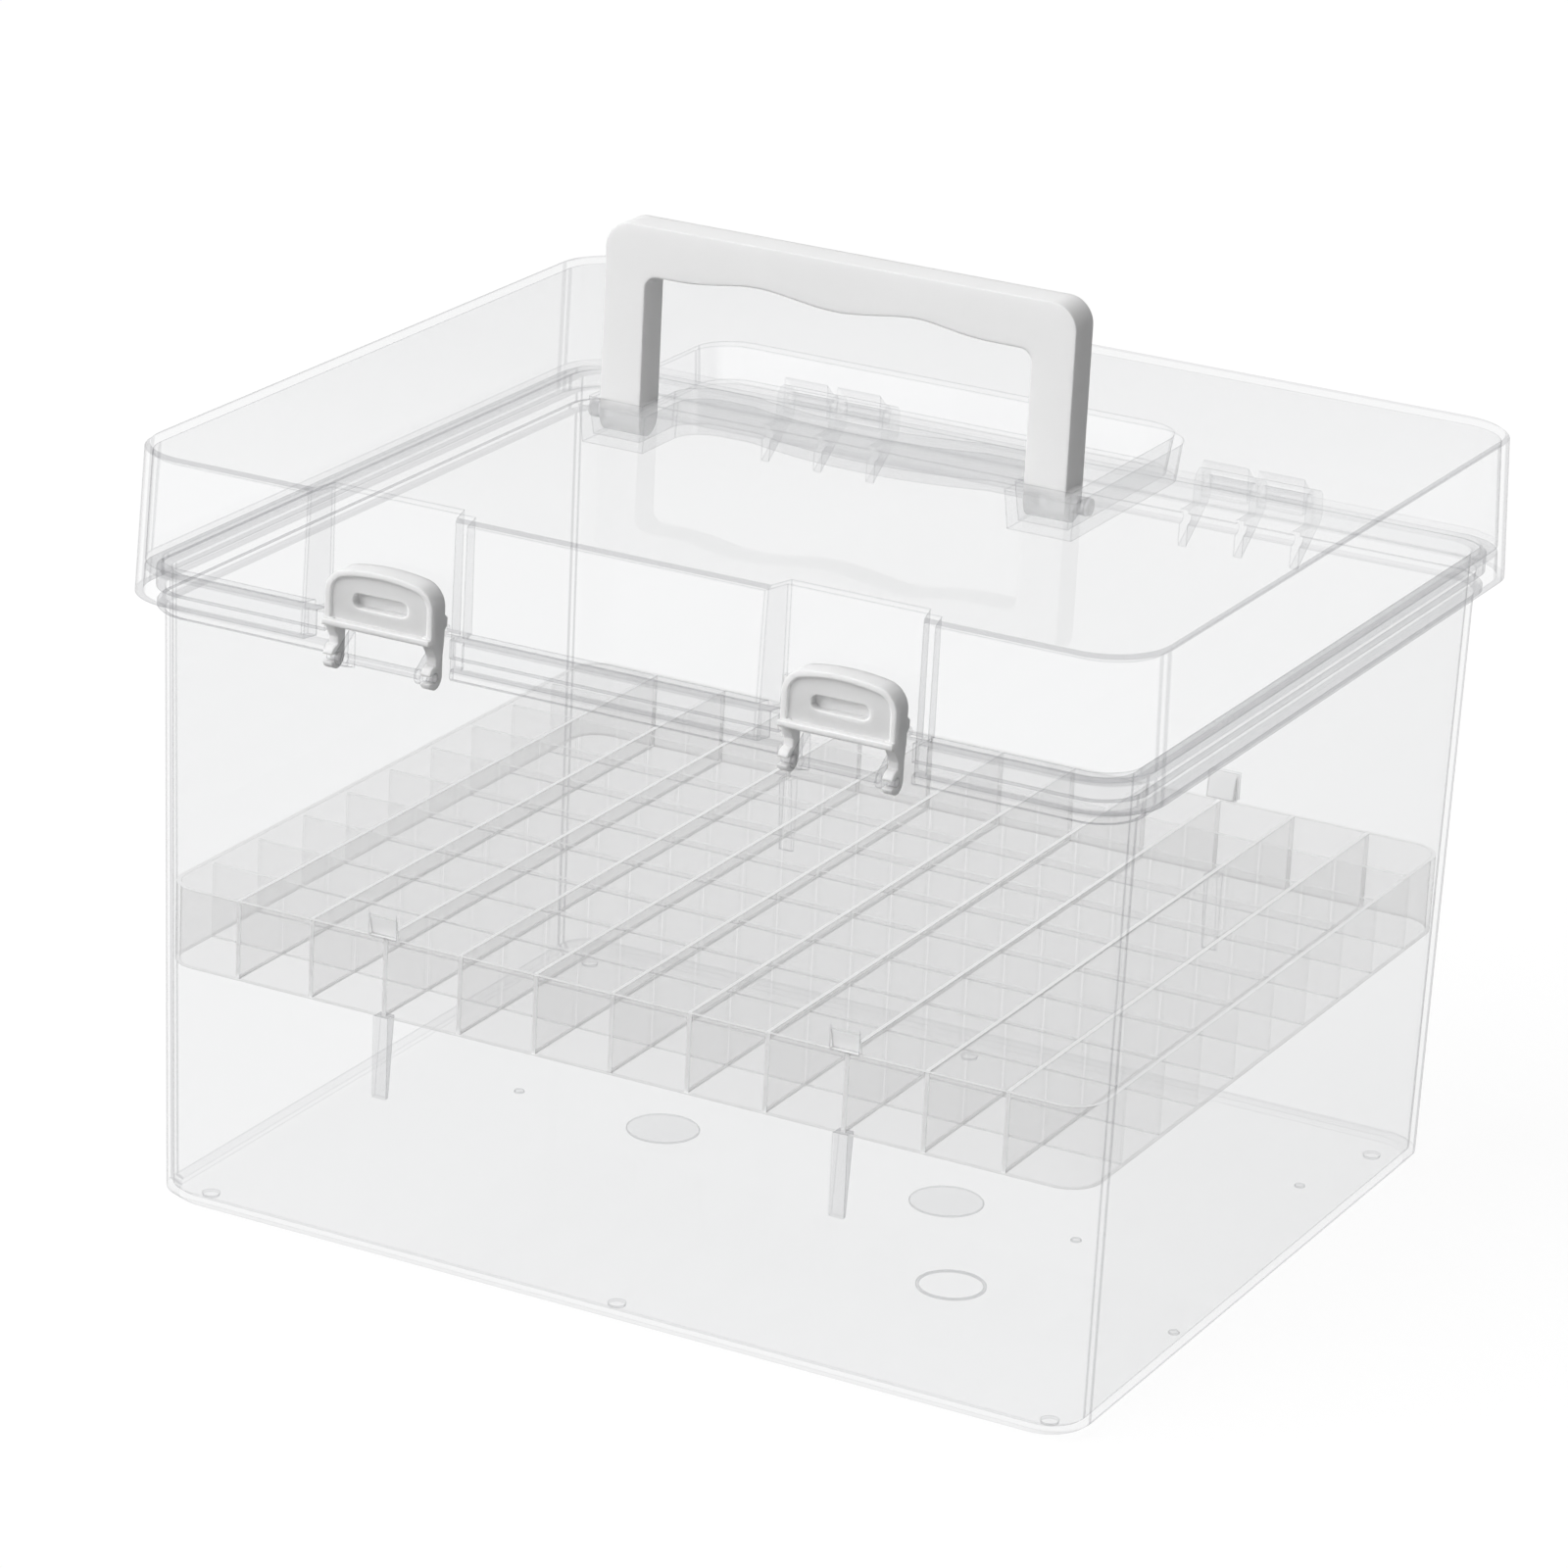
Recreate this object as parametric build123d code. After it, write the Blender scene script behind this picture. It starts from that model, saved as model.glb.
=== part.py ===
from build123d import *
import os
from math import radians, tan

# A clear plastic case that holds markers upright in a grid of square cells.
# Sizes are in millimetres. X runs to the right, Y to the back and Z up, from the table.
# The pieces are drawn about the middle of the body, with the latches at the front, at -Y.
# The finished case is moved so that the origin is under the middle of its whole footprint.

# Marker grid
GRID_COLUMNS = 12
GRID_ROWS = 10
CELL_PITCH_X = 19.2
CELL_PITCH_Y = 19.1
GRID_WALL = 1.0
GRID_BOTTOM = 58.4
GRID_HEIGHT = 18.8
CROSS_WALL_DROP = 1.0
GRID_CORNER = 8.0

# Body shell
GRID_GAP_X = 0.5
GRID_GAP_Y = 0.3
BODY_WALL = 1.5
BODY_DRAFT = 0.7
BODY_CORNER = 9.5
BODY_TOP = 151.5
BASE_CHAMFER = 2.0
FLOOR_THICKNESS = 1.8
FLOOR_CHAMFER = 1.2

# Rim flange and the bead below it
RIM_PROJECTION = 1.95
RIM_HEIGHT = 4.3
BEAD_PROJECTION = 1.8
BEAD_TOP_BELOW_RIM = 7.0
BEAD_HEIGHT = 2.5

# Feet
FOOT_RADIUS = 2.0
FOOT_HEIGHT = 0.6
FOOT_INSET = 10.0

# Supports of the grid, on the front and back walls
SUPPORT_COLUMN = 3
RIB_WIDTH = 3.5
RIB_LENGTH = 19.4
RIB_DEPTH = 3.0
RIB_TOE = 1.0
WEDGE_WIDTH = 7.0
WEDGE_HEIGHT = 6.1
WEDGE_BITE = 0.9
WEDGE_GAP = 0.2

# Lid shell
LID_WALL = 1.8
LID_DRAFT = 2.1
LID_CORNER = 14.5
LID_RISE = 28.5
LID_TOP_CHAMFER = 0.8
SKIRT_GAP = 2.4
SKIRT_OVERLAP = 5.5
SEAT_GAP = 0.3
LEDGE_BITE = 1.5
LEDGE_HEIGHT = 1.5
RIM_ROOM = 0.5

# Latches
LATCH_SPREAD = 56.0
LATCH_WIDTH = 27.0
LATCH_DEPTH = 5.45
LATCH_SKIN = 1.5
LATCH_WALL_GAP = 0.4
LATCH_CLEARANCE = 0.3
LATCH_PLATE_HEIGHT = 13.6
LATCH_CROWN = 1.8
LATCH_CORNER = 5.5
LATCH_RIM = 1.3
LATCH_FACE_SUNK = 0.7
LATCH_PLATE_RISE = 7.9
LATCH_LIP_PROJECTION = 1.2
LATCH_LIP_HEIGHT = 1.3
LATCH_SLOT_LENGTH = 13.9
LATCH_SLOT_HEIGHT = 3.4
LATCH_SLOT_RISE = 6.3
LATCH_SLOT_DEPTH = 2.2
LATCH_SLOT_WALL = 0.8
LATCH_NOSE = 1.1
LATCH_NOSE_HALF = 1.8
LATCH_LEG_WIDTH = 2.3
LATCH_NECK = 2.7
LATCH_NECK_RISE = 4.4
LATCH_HOOK_RADIUS = 2.7
LATCH_MOUTH = 1.8
ROD_RADIUS = 1.1
ROD_REACH = 3.65
ROD_BELOW_RIM = 8.7
ROD_LUG_THICKNESS = 1.6
ROD_LUG_GAP = 0.35
ROD_LUG_RADIUS = 2.0
ROD_LUG_ROOT_BELOW = 3.4
ROD_LUG_ROOT_ABOVE = 5.5
RUNNING_CLEARANCE = 0.08

# Landings for the latches, in the front of the lid
CATCH_RIDGE = 0.7
CATCH_RIDGE_HEIGHT = 1.6
LANDING_WIDTH = 32.5
LANDING_SPLAY = 15.7
FLANGE_TRIM_MARGIN = 0.5

# Hinges at the back
HINGE_SPREAD = 56.0
HINGE_BAR_RADIUS = 1.5
HINGE_BARREL_RADIUS = 2.9
HINGE_AXIS_BEHIND_SKIRT = 3.3
HINGE_AXIS_ABOVE_SKIRT_EDGE = 4.5
HINGE_LUG_THICKNESS = 2.0
HINGE_LUG_PITCH = 14.4
HINGE_LUG_ROOT = 9.5
HINGE_LUG_UNDER_SKIRT = 0.5
KNUCKLE_SIDE_GAP = 0.4
KNUCKLE_MOUTH = 2.4
KNUCKLE_WEB_RISE = 7.0

# Handle
HANDLE_PLACE_Y = -1.25
HANDLE_WIDTH = 117.6
HANDLE_THICKNESS = 8.5
HANDLE_LEG_WIDTH = 10.3
HANDLE_TOP_ABOVE_LID = 41.5
HANDLE_CORNER = 6.0
HANDLE_INNER_CORNER = 3.0
GRIP_BELOW_TOP = 11.5
GRIP_WAVE_HEIGHT = 2.0
GRIP_WAVE_LENGTH = 40.0
STUB_RADIUS = 2.0
STUB_LENGTH = 4.3

# Recess for the folded handle, in the lid's top
RECESS_DEPTH = 9.0
RECESS_DRAFT = 6.0
RECESS_FLOOR_GAP = 0.4
RECESS_FRONT_GAP = 0.5
RECESS_SIDE_GAP = 1.2
RECESS_BACK_GAP = 8.4
RECESS_BACK_CORNER = 10.0
TONGUE_SIDE_GAP = 0.6
TONGUE_LENGTH = 22.0
TONGUE_CORNER = 8.0
SCOOP_WIDTH = 60.0
SCOOP_DEPTH = 5.1

# Places that follow from the sizes above
GRID_TOP = GRID_BOTTOM + GRID_HEIGHT
GRID_HALF_X = (GRID_COLUMNS * CELL_PITCH_X + GRID_WALL) / 2
GRID_HALF_Y = (GRID_ROWS * CELL_PITCH_Y + GRID_WALL) / 2
SUPPORT_X = SUPPORT_COLUMN * CELL_PITCH_X
FLOOR_TOP = FOOT_HEIGHT + FLOOR_THICKNESS
BEAD_TOP = BODY_TOP - BEAD_TOP_BELOW_RIM
LID_LOW = BODY_TOP - SKIRT_OVERLAP
LID_TOP = BODY_TOP + LID_RISE
SEAT_Z = BODY_TOP + SEAT_GAP


def body_half(z):
    """Half width and half depth of the body's outer wall at height z."""
    margin = BODY_WALL + (z - GRID_BOTTOM) * tan(radians(BODY_DRAFT))
    return GRID_HALF_X + GRID_GAP_X + margin, GRID_HALF_Y + GRID_GAP_Y + margin


def lid_half(z):
    """Half width and half depth of the lid's outer wall at height z."""
    body_x, body_y = body_half(BODY_TOP)
    margin = RIM_PROJECTION + SKIRT_GAP + LID_WALL - (z - LID_LOW) * tan(radians(LID_DRAFT))
    return body_x + margin, body_y + margin


WALL_FRONT = -body_half(BODY_TOP)[1]
LATCH_REAR = WALL_FRONT - LATCH_WALL_GAP
NOSE_REAR = LATCH_REAR + LATCH_NOSE
RIDGE_FRONT = NOSE_REAR + LATCH_CLEARANCE
LANDING_FRONT = RIDGE_FRONT + CATCH_RIDGE
LATCH_FRONT = LATCH_REAR - LATCH_DEPTH
ROD_Y = WALL_FRONT - ROD_REACH
ROD_Z = BODY_TOP - ROD_BELOW_RIM
LATCH_PLATE_LOW = ROD_Z + LATCH_PLATE_RISE
NOSE_Z = SEAT_Z + CATCH_RIDGE_HEIGHT + LATCH_CLEARANCE + LATCH_NOSE_HALF / 2
HINGE_Y = lid_half(LID_LOW)[1] + HINGE_AXIS_BEHIND_SKIRT
HINGE_Z = LID_LOW + HINGE_AXIS_ABOVE_SKIRT_EDGE
HANDLE_TOP = LID_TOP + HANDLE_TOP_ABOVE_LID
HANDLE_PIVOT_Z = LID_TOP - RECESS_DEPTH + RECESS_FLOOR_GAP + HANDLE_THICKNESS / 2
HANDLE_INNER_HALF = HANDLE_WIDTH / 2 - HANDLE_LEG_WIDTH
FOOTPRINT_FRONT = LATCH_FRONT - LATCH_LIP_PROJECTION
FOOTPRINT_BACK = HINGE_Y + HINGE_BARREL_RADIUS
ORIGIN_Y = (FOOTPRINT_FRONT + FOOTPRINT_BACK) / 2


def rounded_block(half, corner, low, high):
    """Upright block with rounded corners and straight sides."""
    return Pos(0, 0, low) * extrude(RectangleRounded(2 * half[0], 2 * half[1], corner), high - low)


def drafted_block(half_at, inset, corner, low, high, base_chamfer=0, top_chamfer=0):
    """Block with rounded corners whose sides lie inset from those that half_at gives at each height."""
    levels = [(low + base_chamfer, 0), (high - top_chamfer, 0)]
    if base_chamfer > 0:
        levels.insert(0, (low, base_chamfer))
    if top_chamfer > 0:
        levels.append((high, top_chamfer))
    sections = []
    for z, drawn_in in levels:
        half_x, half_y = [size - inset - drawn_in for size in half_at(z)]
        sections.append(Pos(0, 0, z) * RectangleRounded(2 * half_x, 2 * half_y, corner))
    return loft(sections, ruled=True)


def across(profile, width, centre_x):
    """Profile drawn in Y and Z, made as wide as width about centre_x."""
    return Pos(centre_x, 0, 0) * extrude(Plane.YZ * profile, width / 2, both=True)


def cross_bar(radius, length, centre_x, y, z):
    """Round bar that runs along X."""
    return Pos(centre_x, y, z) * Rot(0, 90, 0) * Cylinder(radius, length)


def grid_frame():
    outer = RectangleRounded(2 * GRID_HALF_X, 2 * GRID_HALF_Y, GRID_CORNER)
    inner = RectangleRounded(
        2 * (GRID_HALF_X - GRID_WALL), 2 * (GRID_HALF_Y - GRID_WALL), GRID_CORNER - GRID_WALL
    )
    return Pos(0, 0, GRID_BOTTOM) * extrude(outer - inner, GRID_HEIGHT)


def grid_long_walls():
    """Walls from front to back, at full height."""
    length = 2 * (GRID_HALF_Y - GRID_WALL)
    middle_z = GRID_BOTTOM + GRID_HEIGHT / 2
    walls = []
    for column in range(1, GRID_COLUMNS):
        x = (column - GRID_COLUMNS / 2) * CELL_PITCH_X
        walls.append(Pos(x, 0, middle_z) * Box(GRID_WALL, length, GRID_HEIGHT))
    return Compound(walls)


def grid_cross_walls():
    """Short walls between the long ones, a little lower than they are."""
    height = GRID_HEIGHT - CROSS_WALL_DROP
    middle_z = GRID_BOTTOM + height / 2
    walls = []
    for row in range(1, GRID_ROWS):
        y = (row - GRID_ROWS / 2) * CELL_PITCH_Y
        for column in range(GRID_COLUMNS):
            x = (column + 0.5 - GRID_COLUMNS / 2) * CELL_PITCH_X
            walls.append(Pos(x, y, middle_z) * Box(CELL_PITCH_X - GRID_WALL, GRID_WALL, height))
    return Compound(walls)


def body_bands():
    """Rim flange and bead, left out where the latches swing through."""
    rim_half = [size + RIM_PROJECTION for size in body_half(BODY_TOP)]
    bead_half = [size + BEAD_PROJECTION for size in body_half(BEAD_TOP)]
    flange = rounded_block(rim_half, BODY_CORNER + RIM_PROJECTION, BODY_TOP - RIM_HEIGHT, BODY_TOP)
    bead = rounded_block(bead_half, BODY_CORNER + BEAD_PROJECTION, BEAD_TOP - BEAD_HEIGHT, BEAD_TOP)
    bead = chamfer(bead.edges().filter_by(Plane.XY), BEAD_HEIGHT / 4)
    bands = flange + bead
    trim_width = LANDING_WIDTH - 2 * FLANGE_TRIM_MARGIN
    trim_height = BODY_TOP - BEAD_TOP + BEAD_HEIGHT + 2 * RIM_PROJECTION
    for side in (-1, 1):
        trim = Box(trim_width, 4 * BODY_CORNER, trim_height, align=(Align.CENTER, Align.CENTER, Align.MAX))
        bands -= Pos(side * LATCH_SPREAD, WALL_FRONT, BODY_TOP + RIM_PROJECTION) * trim
    return bands


def rod_mount(centre_x):
    """Rod that a latch hooks on, with the two lugs that carry it."""
    wall = WALL_FRONT + BODY_WALL / 2
    pivot = Pos(ROD_Y, ROD_Z) * Circle(ROD_LUG_RADIUS)
    root = Line((wall, ROD_Z - ROD_LUG_ROOT_BELOW), (wall, ROD_Z + ROD_LUG_ROOT_ABOVE))
    profile = make_hull(pivot.edges() + root.edges())
    mount = cross_bar(ROD_RADIUS, LATCH_WIDTH, centre_x, ROD_Y, ROD_Z)
    lug_x = LATCH_WIDTH / 2 - LATCH_LEG_WIDTH - ROD_LUG_GAP - ROD_LUG_THICKNESS / 2
    for side in (-1, 1):
        mount += across(profile, ROD_LUG_THICKNESS, centre_x + side * lug_x)
    return mount


def hinge_mount(centre_x):
    """Bar that the lid turns on, with the three lugs that reach round the skirt."""
    wall = body_half(BEAD_TOP)[1] - BODY_WALL / 2
    under = LID_LOW - HINGE_LUG_UNDER_SKIRT
    near = HINGE_Y - HINGE_BARREL_RADIUS
    far = HINGE_Y + HINGE_BARREL_RADIUS
    outline = [(wall, under - HINGE_LUG_ROOT), (far, under), (far, HINGE_Z), (near, HINGE_Z),
               (near, under), (wall, under)]
    profile = make_face(Polyline(*outline, close=True)) + Pos(HINGE_Y, HINGE_Z) * Circle(HINGE_BARREL_RADIUS)
    length = 2 * HINGE_LUG_PITCH + HINGE_LUG_THICKNESS
    mount = cross_bar(HINGE_BAR_RADIUS, length, centre_x, HINGE_Y, HINGE_Z)
    for place in (-1, 0, 1):
        mount += across(profile, HINGE_LUG_THICKNESS, centre_x + place * HINGE_LUG_PITCH)
    return mount


def grid_rib():
    """Rib on the front wall that carries the grid."""
    low = GRID_BOTTOM - RIB_LENGTH
    wall_low = -body_half(low)[1] + BODY_WALL
    wall_high = -body_half(GRID_BOTTOM)[1] + BODY_WALL
    outline = [(wall_low - BODY_WALL / 2, low), (wall_low + RIB_TOE, low), (wall_high + RIB_DEPTH, GRID_BOTTOM),
               (wall_high - BODY_WALL / 2, GRID_BOTTOM)]
    return across(make_face(Polyline(*outline, close=True)), RIB_WIDTH, 0)


def snap_wedge():
    """Wedge on the front wall that the grid clicks under."""
    low = GRID_TOP + WEDGE_GAP
    high = low + WEDGE_HEIGHT
    wall_low = -body_half(low)[1] + BODY_WALL
    wall_high = -body_half(high)[1] + BODY_WALL
    nose = -GRID_HALF_Y + WEDGE_BITE
    outline = [(wall_low - BODY_WALL / 2, low), (nose, low), (wall_high, high),
               (wall_high - BODY_WALL / 2, high)]
    return across(make_face(Polyline(*outline, close=True)), WEDGE_WIDTH, 0)


def feet():
    """Six small round feet, three along the front and three along the back."""
    half_x, half_y = body_half(FOOT_HEIGHT)
    foot = Cylinder(FOOT_RADIUS, FOOT_HEIGHT + FLOOR_THICKNESS / 2, align=(Align.CENTER, Align.CENTER, Align.MIN))
    pads = []
    for column in (-1, 0, 1):
        for side in (-1, 1):
            pads.append(Pos(column * (half_x - FOOT_INSET), side * (half_y - FOOT_INSET), 0) * foot)
    return pads


def body():
    shell = drafted_block(body_half, 0, BODY_CORNER, FOOT_HEIGHT, BODY_TOP, base_chamfer=BASE_CHAMFER)
    shell += body_bands()
    for side in (-1, 1):
        shell += rod_mount(side * LATCH_SPREAD)
        shell += hinge_mount(side * HINGE_SPREAD)
    shell -= drafted_block(
        body_half, BODY_WALL, BODY_CORNER - BODY_WALL, FLOOR_TOP, BODY_TOP + BODY_WALL, base_chamfer=FLOOR_CHAMFER
    )
    for x in (-SUPPORT_X, SUPPORT_X):
        for turn in (0, 180):
            shell += Pos(x, 0, 0) * Rot(0, 0, turn) * grid_rib()
            shell += Pos(x, 0, 0) * Rot(0, 0, turn) * snap_wedge()
    for foot in feet():
        shell += foot
    return shell


def landing(centre_x, grow):
    """Space in front of a landing's panel, from below the lid to above it."""
    splay = tan(radians(LANDING_SPLAY))
    back = LANDING_FRONT + grow
    front = -lid_half(LID_LOW)[1] - LID_CORNER
    half_back = LANDING_WIDTH / 2 + grow
    half_front = half_back + (back - front) * splay
    outline = [(-half_back, back), (-half_front, front), (half_front, front), (half_back, back)]
    plan = make_face(Polyline(*outline, close=True))
    height = LID_TOP - LID_LOW + 2 * LID_WALL
    return Pos(centre_x, 0, LID_LOW - LID_WALL) * extrude(plan, height)


def recess_plan(grow):
    """U-shaped outline of the handle's recess, wider by grow on each side than its floor."""
    half = HANDLE_WIDTH / 2 + RECESS_SIDE_GAP + grow
    tongue_half = HANDLE_INNER_HALF - TONGUE_SIDE_GAP - grow
    front = HANDLE_PLACE_Y - HANDLE_THICKNESS / 2 - RECESS_FRONT_GAP - grow
    back = HANDLE_PLACE_Y + HANDLE_TOP - HANDLE_PIVOT_Z + RECESS_BACK_GAP + grow
    tongue_back = HANDLE_PLACE_Y - HANDLE_THICKNESS / 2 + TONGUE_LENGTH - grow
    corners = [(half, front), (half, back), (-half, back), (-half, front),
               (-tongue_half, front), (-tongue_half, tongue_back),
               (tongue_half, tongue_back), (tongue_half, front)]
    plan = make_face(Polyline(*corners, close=True))
    rows = plan.vertices().group_by(Axis.Y)
    plan = fillet(rows[-1], RECESS_BACK_CORNER)
    plan = fillet(plan.vertices().filter_by(lambda v: abs(v.Y - tongue_back) < TONGUE_SIDE_GAP), TONGUE_CORNER)
    scoop_ends = [(-SCOOP_WIDTH / 2, tongue_back), (SCOOP_WIDTH / 2, tongue_back)]
    scoop_arc = ThreePointArc(scoop_ends[0], (0, tongue_back - SCOOP_DEPTH), scoop_ends[1])
    return plan + make_face(scoop_arc + Line(*scoop_ends))


def recess(grow):
    """Space of the recess, from its floor to just above the lid's top."""
    spread = RECESS_DEPTH * tan(radians(RECESS_DRAFT))
    floor = Pos(0, 0, LID_TOP - RECESS_DEPTH - grow) * recess_plan(grow)
    mouth = Pos(0, 0, LID_TOP) * recess_plan(grow + spread)
    return loft([floor, mouth], ruled=True) + extrude(mouth, LID_WALL)


def lid_form(inset):
    """Solid shape of the lid, drawn in from its outside by inset."""
    chamfer_width = LID_TOP_CHAMFER if inset == 0 else 0
    form = drafted_block(
        lid_half, inset, LID_CORNER - inset, LID_LOW - inset, LID_TOP - inset, top_chamfer=chamfer_width
    )
    for side in (-1, 1):
        form -= landing(side * LATCH_SPREAD, inset)
    return form - recess(inset)


def rim_ledge():
    """Ledge inside the skirt that sits on the body's rim."""
    outer_half = [size - LID_WALL / 2 for size in lid_half(SEAT_Z)]
    rim = body_half(BODY_TOP)
    inner_half = [size + RIM_PROJECTION - LEDGE_BITE for size in rim]
    outer = rounded_block(outer_half, LID_CORNER - LID_WALL / 2, SEAT_Z, SEAT_Z + LEDGE_HEIGHT)
    inner = rounded_block(inner_half, BODY_CORNER, SEAT_Z, SEAT_Z + LEDGE_HEIGHT)
    return outer - inner


def knuckle(centre_x):
    """Hook on the skirt's back that snaps over the hinge bar."""
    barrel = Pos(HINGE_Y, HINGE_Z) * Circle(HINGE_BARREL_RADIUS)
    wall = lid_half(HINGE_Z + KNUCKLE_WEB_RISE)[1] - LID_WALL / 2
    web = [(wall, HINGE_Z - HINGE_BARREL_RADIUS), (HINGE_Y, HINGE_Z - HINGE_BARREL_RADIUS),
           (HINGE_Y, HINGE_Z + HINGE_BARREL_RADIUS), (wall, HINGE_Z + KNUCKLE_WEB_RISE)]
    mouth = Rectangle(KNUCKLE_MOUTH, 2 * HINGE_BARREL_RADIUS, align=(Align.CENTER, Align.MAX))
    profile = barrel + make_face(Polyline(*web, close=True))
    profile -= Pos(HINGE_Y, HINGE_Z) * Circle(HINGE_BAR_RADIUS + RUNNING_CLEARANCE)
    profile -= Pos(HINGE_Y, HINGE_Z) * mouth
    width = HINGE_LUG_PITCH - HINGE_LUG_THICKNESS - 2 * KNUCKLE_SIDE_GAP
    return across(profile, width, centre_x)


def lid():
    outer = lid_form(0)
    rim_half = [size + RIM_PROJECTION + RIM_ROOM for size in body_half(BODY_TOP)]
    rim_room = rounded_block(rim_half, BODY_CORNER + RIM_PROJECTION + RIM_ROOM, LID_LOW - LID_WALL, SEAT_Z)
    ledge = rim_ledge()
    for side in (-1, 1):
        ledge -= landing(side * LATCH_SPREAD, 0)
    shell = outer - lid_form(LID_WALL) - rim_room + ledge
    ridge_depth = LANDING_FRONT - RIDGE_FRONT + LID_WALL / 2
    ridge = Box(LATCH_WIDTH, ridge_depth, CATCH_RIDGE_HEIGHT, align=(Align.CENTER, Align.MIN, Align.MIN))
    for side in (-1, 1):
        shell += Pos(side * LATCH_SPREAD, RIDGE_FRONT, SEAT_Z) * ridge
        for place in (-0.5, 0.5):
            shell += knuckle(side * HINGE_SPREAD + place * HINGE_LUG_PITCH)
    bore_length = 2 * (HANDLE_WIDTH / 2 + STUB_LENGTH)
    bore = cross_bar(STUB_RADIUS + RUNNING_CLEARANCE, bore_length, 0, HANDLE_PLACE_Y, HANDLE_PIVOT_Z)
    tongue_room = Box(2 * HANDLE_INNER_HALF, 2 * HANDLE_THICKNESS, 2 * HANDLE_THICKNESS)
    return shell - (bore - Pos(0, HANDLE_PLACE_Y, HANDLE_PIVOT_Z) * tongue_room)


def grip_opening():
    """Opening under the grip, with a waved top for the fingers."""
    half = HANDLE_INNER_HALF
    low = HANDLE_PIVOT_Z - HANDLE_THICKNESS
    high = HANDLE_TOP - GRIP_BELOW_TOP
    corner = HANDLE_INNER_CORNER
    wave_points = []
    for step in range(-2, 3):
        x = step * GRIP_WAVE_LENGTH / 2
        wave_points.append((x, high + (step % 2) * GRIP_WAVE_HEIGHT))
    wave = Spline(*wave_points, tangents=[(1, 0), (1, 0)])
    left, right = wave_points[0], wave_points[-1]
    edges = [
        wave,
        Line(right, (half - corner, high)),
        RadiusArc((half - corner, high), (half, high - corner), corner),
        Polyline((half, high - corner), (half, low), (-half, low), (-half, high - corner)),
        RadiusArc((-half, high - corner), (-half + corner, high), corner),
        Line((-half + corner, high), left),
    ]
    return make_face(edges)


def handle():
    front = Pos(0, HANDLE_TOP) * RectangleRounded(
        HANDLE_WIDTH, 2 * (HANDLE_TOP - HANDLE_PIVOT_Z) + HANDLE_THICKNESS, HANDLE_CORNER,
        align=(Align.CENTER, Align.MAX)
    )
    side_height = HANDLE_TOP - HANDLE_PIVOT_Z
    side = Pos(HANDLE_PLACE_Y, HANDLE_PIVOT_Z) * (
        Rectangle(HANDLE_THICKNESS, side_height, align=(Align.CENTER, Align.MIN)) + Circle(HANDLE_THICKNESS / 2)
    )
    bail = extrude(Plane.XZ * (front - grip_opening()), HANDLE_THICKNESS, both=True)
    bail &= across(side, HANDLE_WIDTH, 0)
    stub_x = HANDLE_WIDTH / 2 + STUB_LENGTH / 2
    for direction in (-1, 1):
        bail += cross_bar(STUB_RADIUS, STUB_LENGTH, direction * stub_x, HANDLE_PLACE_Y, HANDLE_PIVOT_Z)
    return bail


def latch_plate_plan(inset):
    """Front view of a latch's plate in X and Z, with its crowned top."""
    half = LATCH_WIDTH / 2 - inset
    low = LATCH_PLATE_LOW + inset
    shoulder = LATCH_PLATE_LOW + LATCH_PLATE_HEIGHT - LATCH_CROWN - inset
    top = LATCH_PLATE_LOW + LATCH_PLATE_HEIGHT - inset
    outline = Polyline((-half, shoulder), (-half, low), (half, low), (half, shoulder))
    plan = make_face(outline + ThreePointArc((half, shoulder), (0, top), (-half, shoulder)))
    return fillet(plan.vertices().group_by(Axis.Y)[-1], LATCH_CORNER - inset)


def latch_slot(grow, depth):
    """Body of the blind slot in a latch's face, or of the cup around it."""
    slot = SlotOverall(LATCH_SLOT_LENGTH + 2 * grow, LATCH_SLOT_HEIGHT + 2 * grow)
    bottom_y = LATCH_FRONT + LATCH_FACE_SUNK + depth
    return Pos(0, bottom_y, 0) * extrude(Plane.XZ * Pos(0, LATCH_PLATE_LOW + LATCH_SLOT_RISE) * slot, depth)


def latch_leg_profile():
    """Side view of a leg in Y and Z, from the plate down to its hook."""
    neck_z = ROD_Z + LATCH_NECK_RISE
    hook_rear = ROD_Y + LATCH_HOOK_RADIUS
    outline = [(LATCH_FRONT, LATCH_PLATE_LOW + LATCH_SKIN), (LATCH_FRONT, LATCH_PLATE_LOW),
               (hook_rear - LATCH_NECK, neck_z), (hook_rear - LATCH_NECK, ROD_Z), (hook_rear, ROD_Z),
               (hook_rear, neck_z), (LATCH_REAR, LATCH_PLATE_LOW), (LATCH_REAR, LATCH_PLATE_LOW + LATCH_SKIN)]
    profile = make_face(Polyline(*outline, close=True)) + Pos(ROD_Y, ROD_Z) * Circle(LATCH_HOOK_RADIUS)
    mouth = Rectangle(2 * LATCH_HOOK_RADIUS, LATCH_MOUTH, align=(Align.MAX, Align.CENTER))
    profile -= Pos(ROD_Y, ROD_Z) * Circle(ROD_RADIUS + RUNNING_CLEARANCE)
    return profile - Pos(ROD_Y, ROD_Z) * mouth


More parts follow.
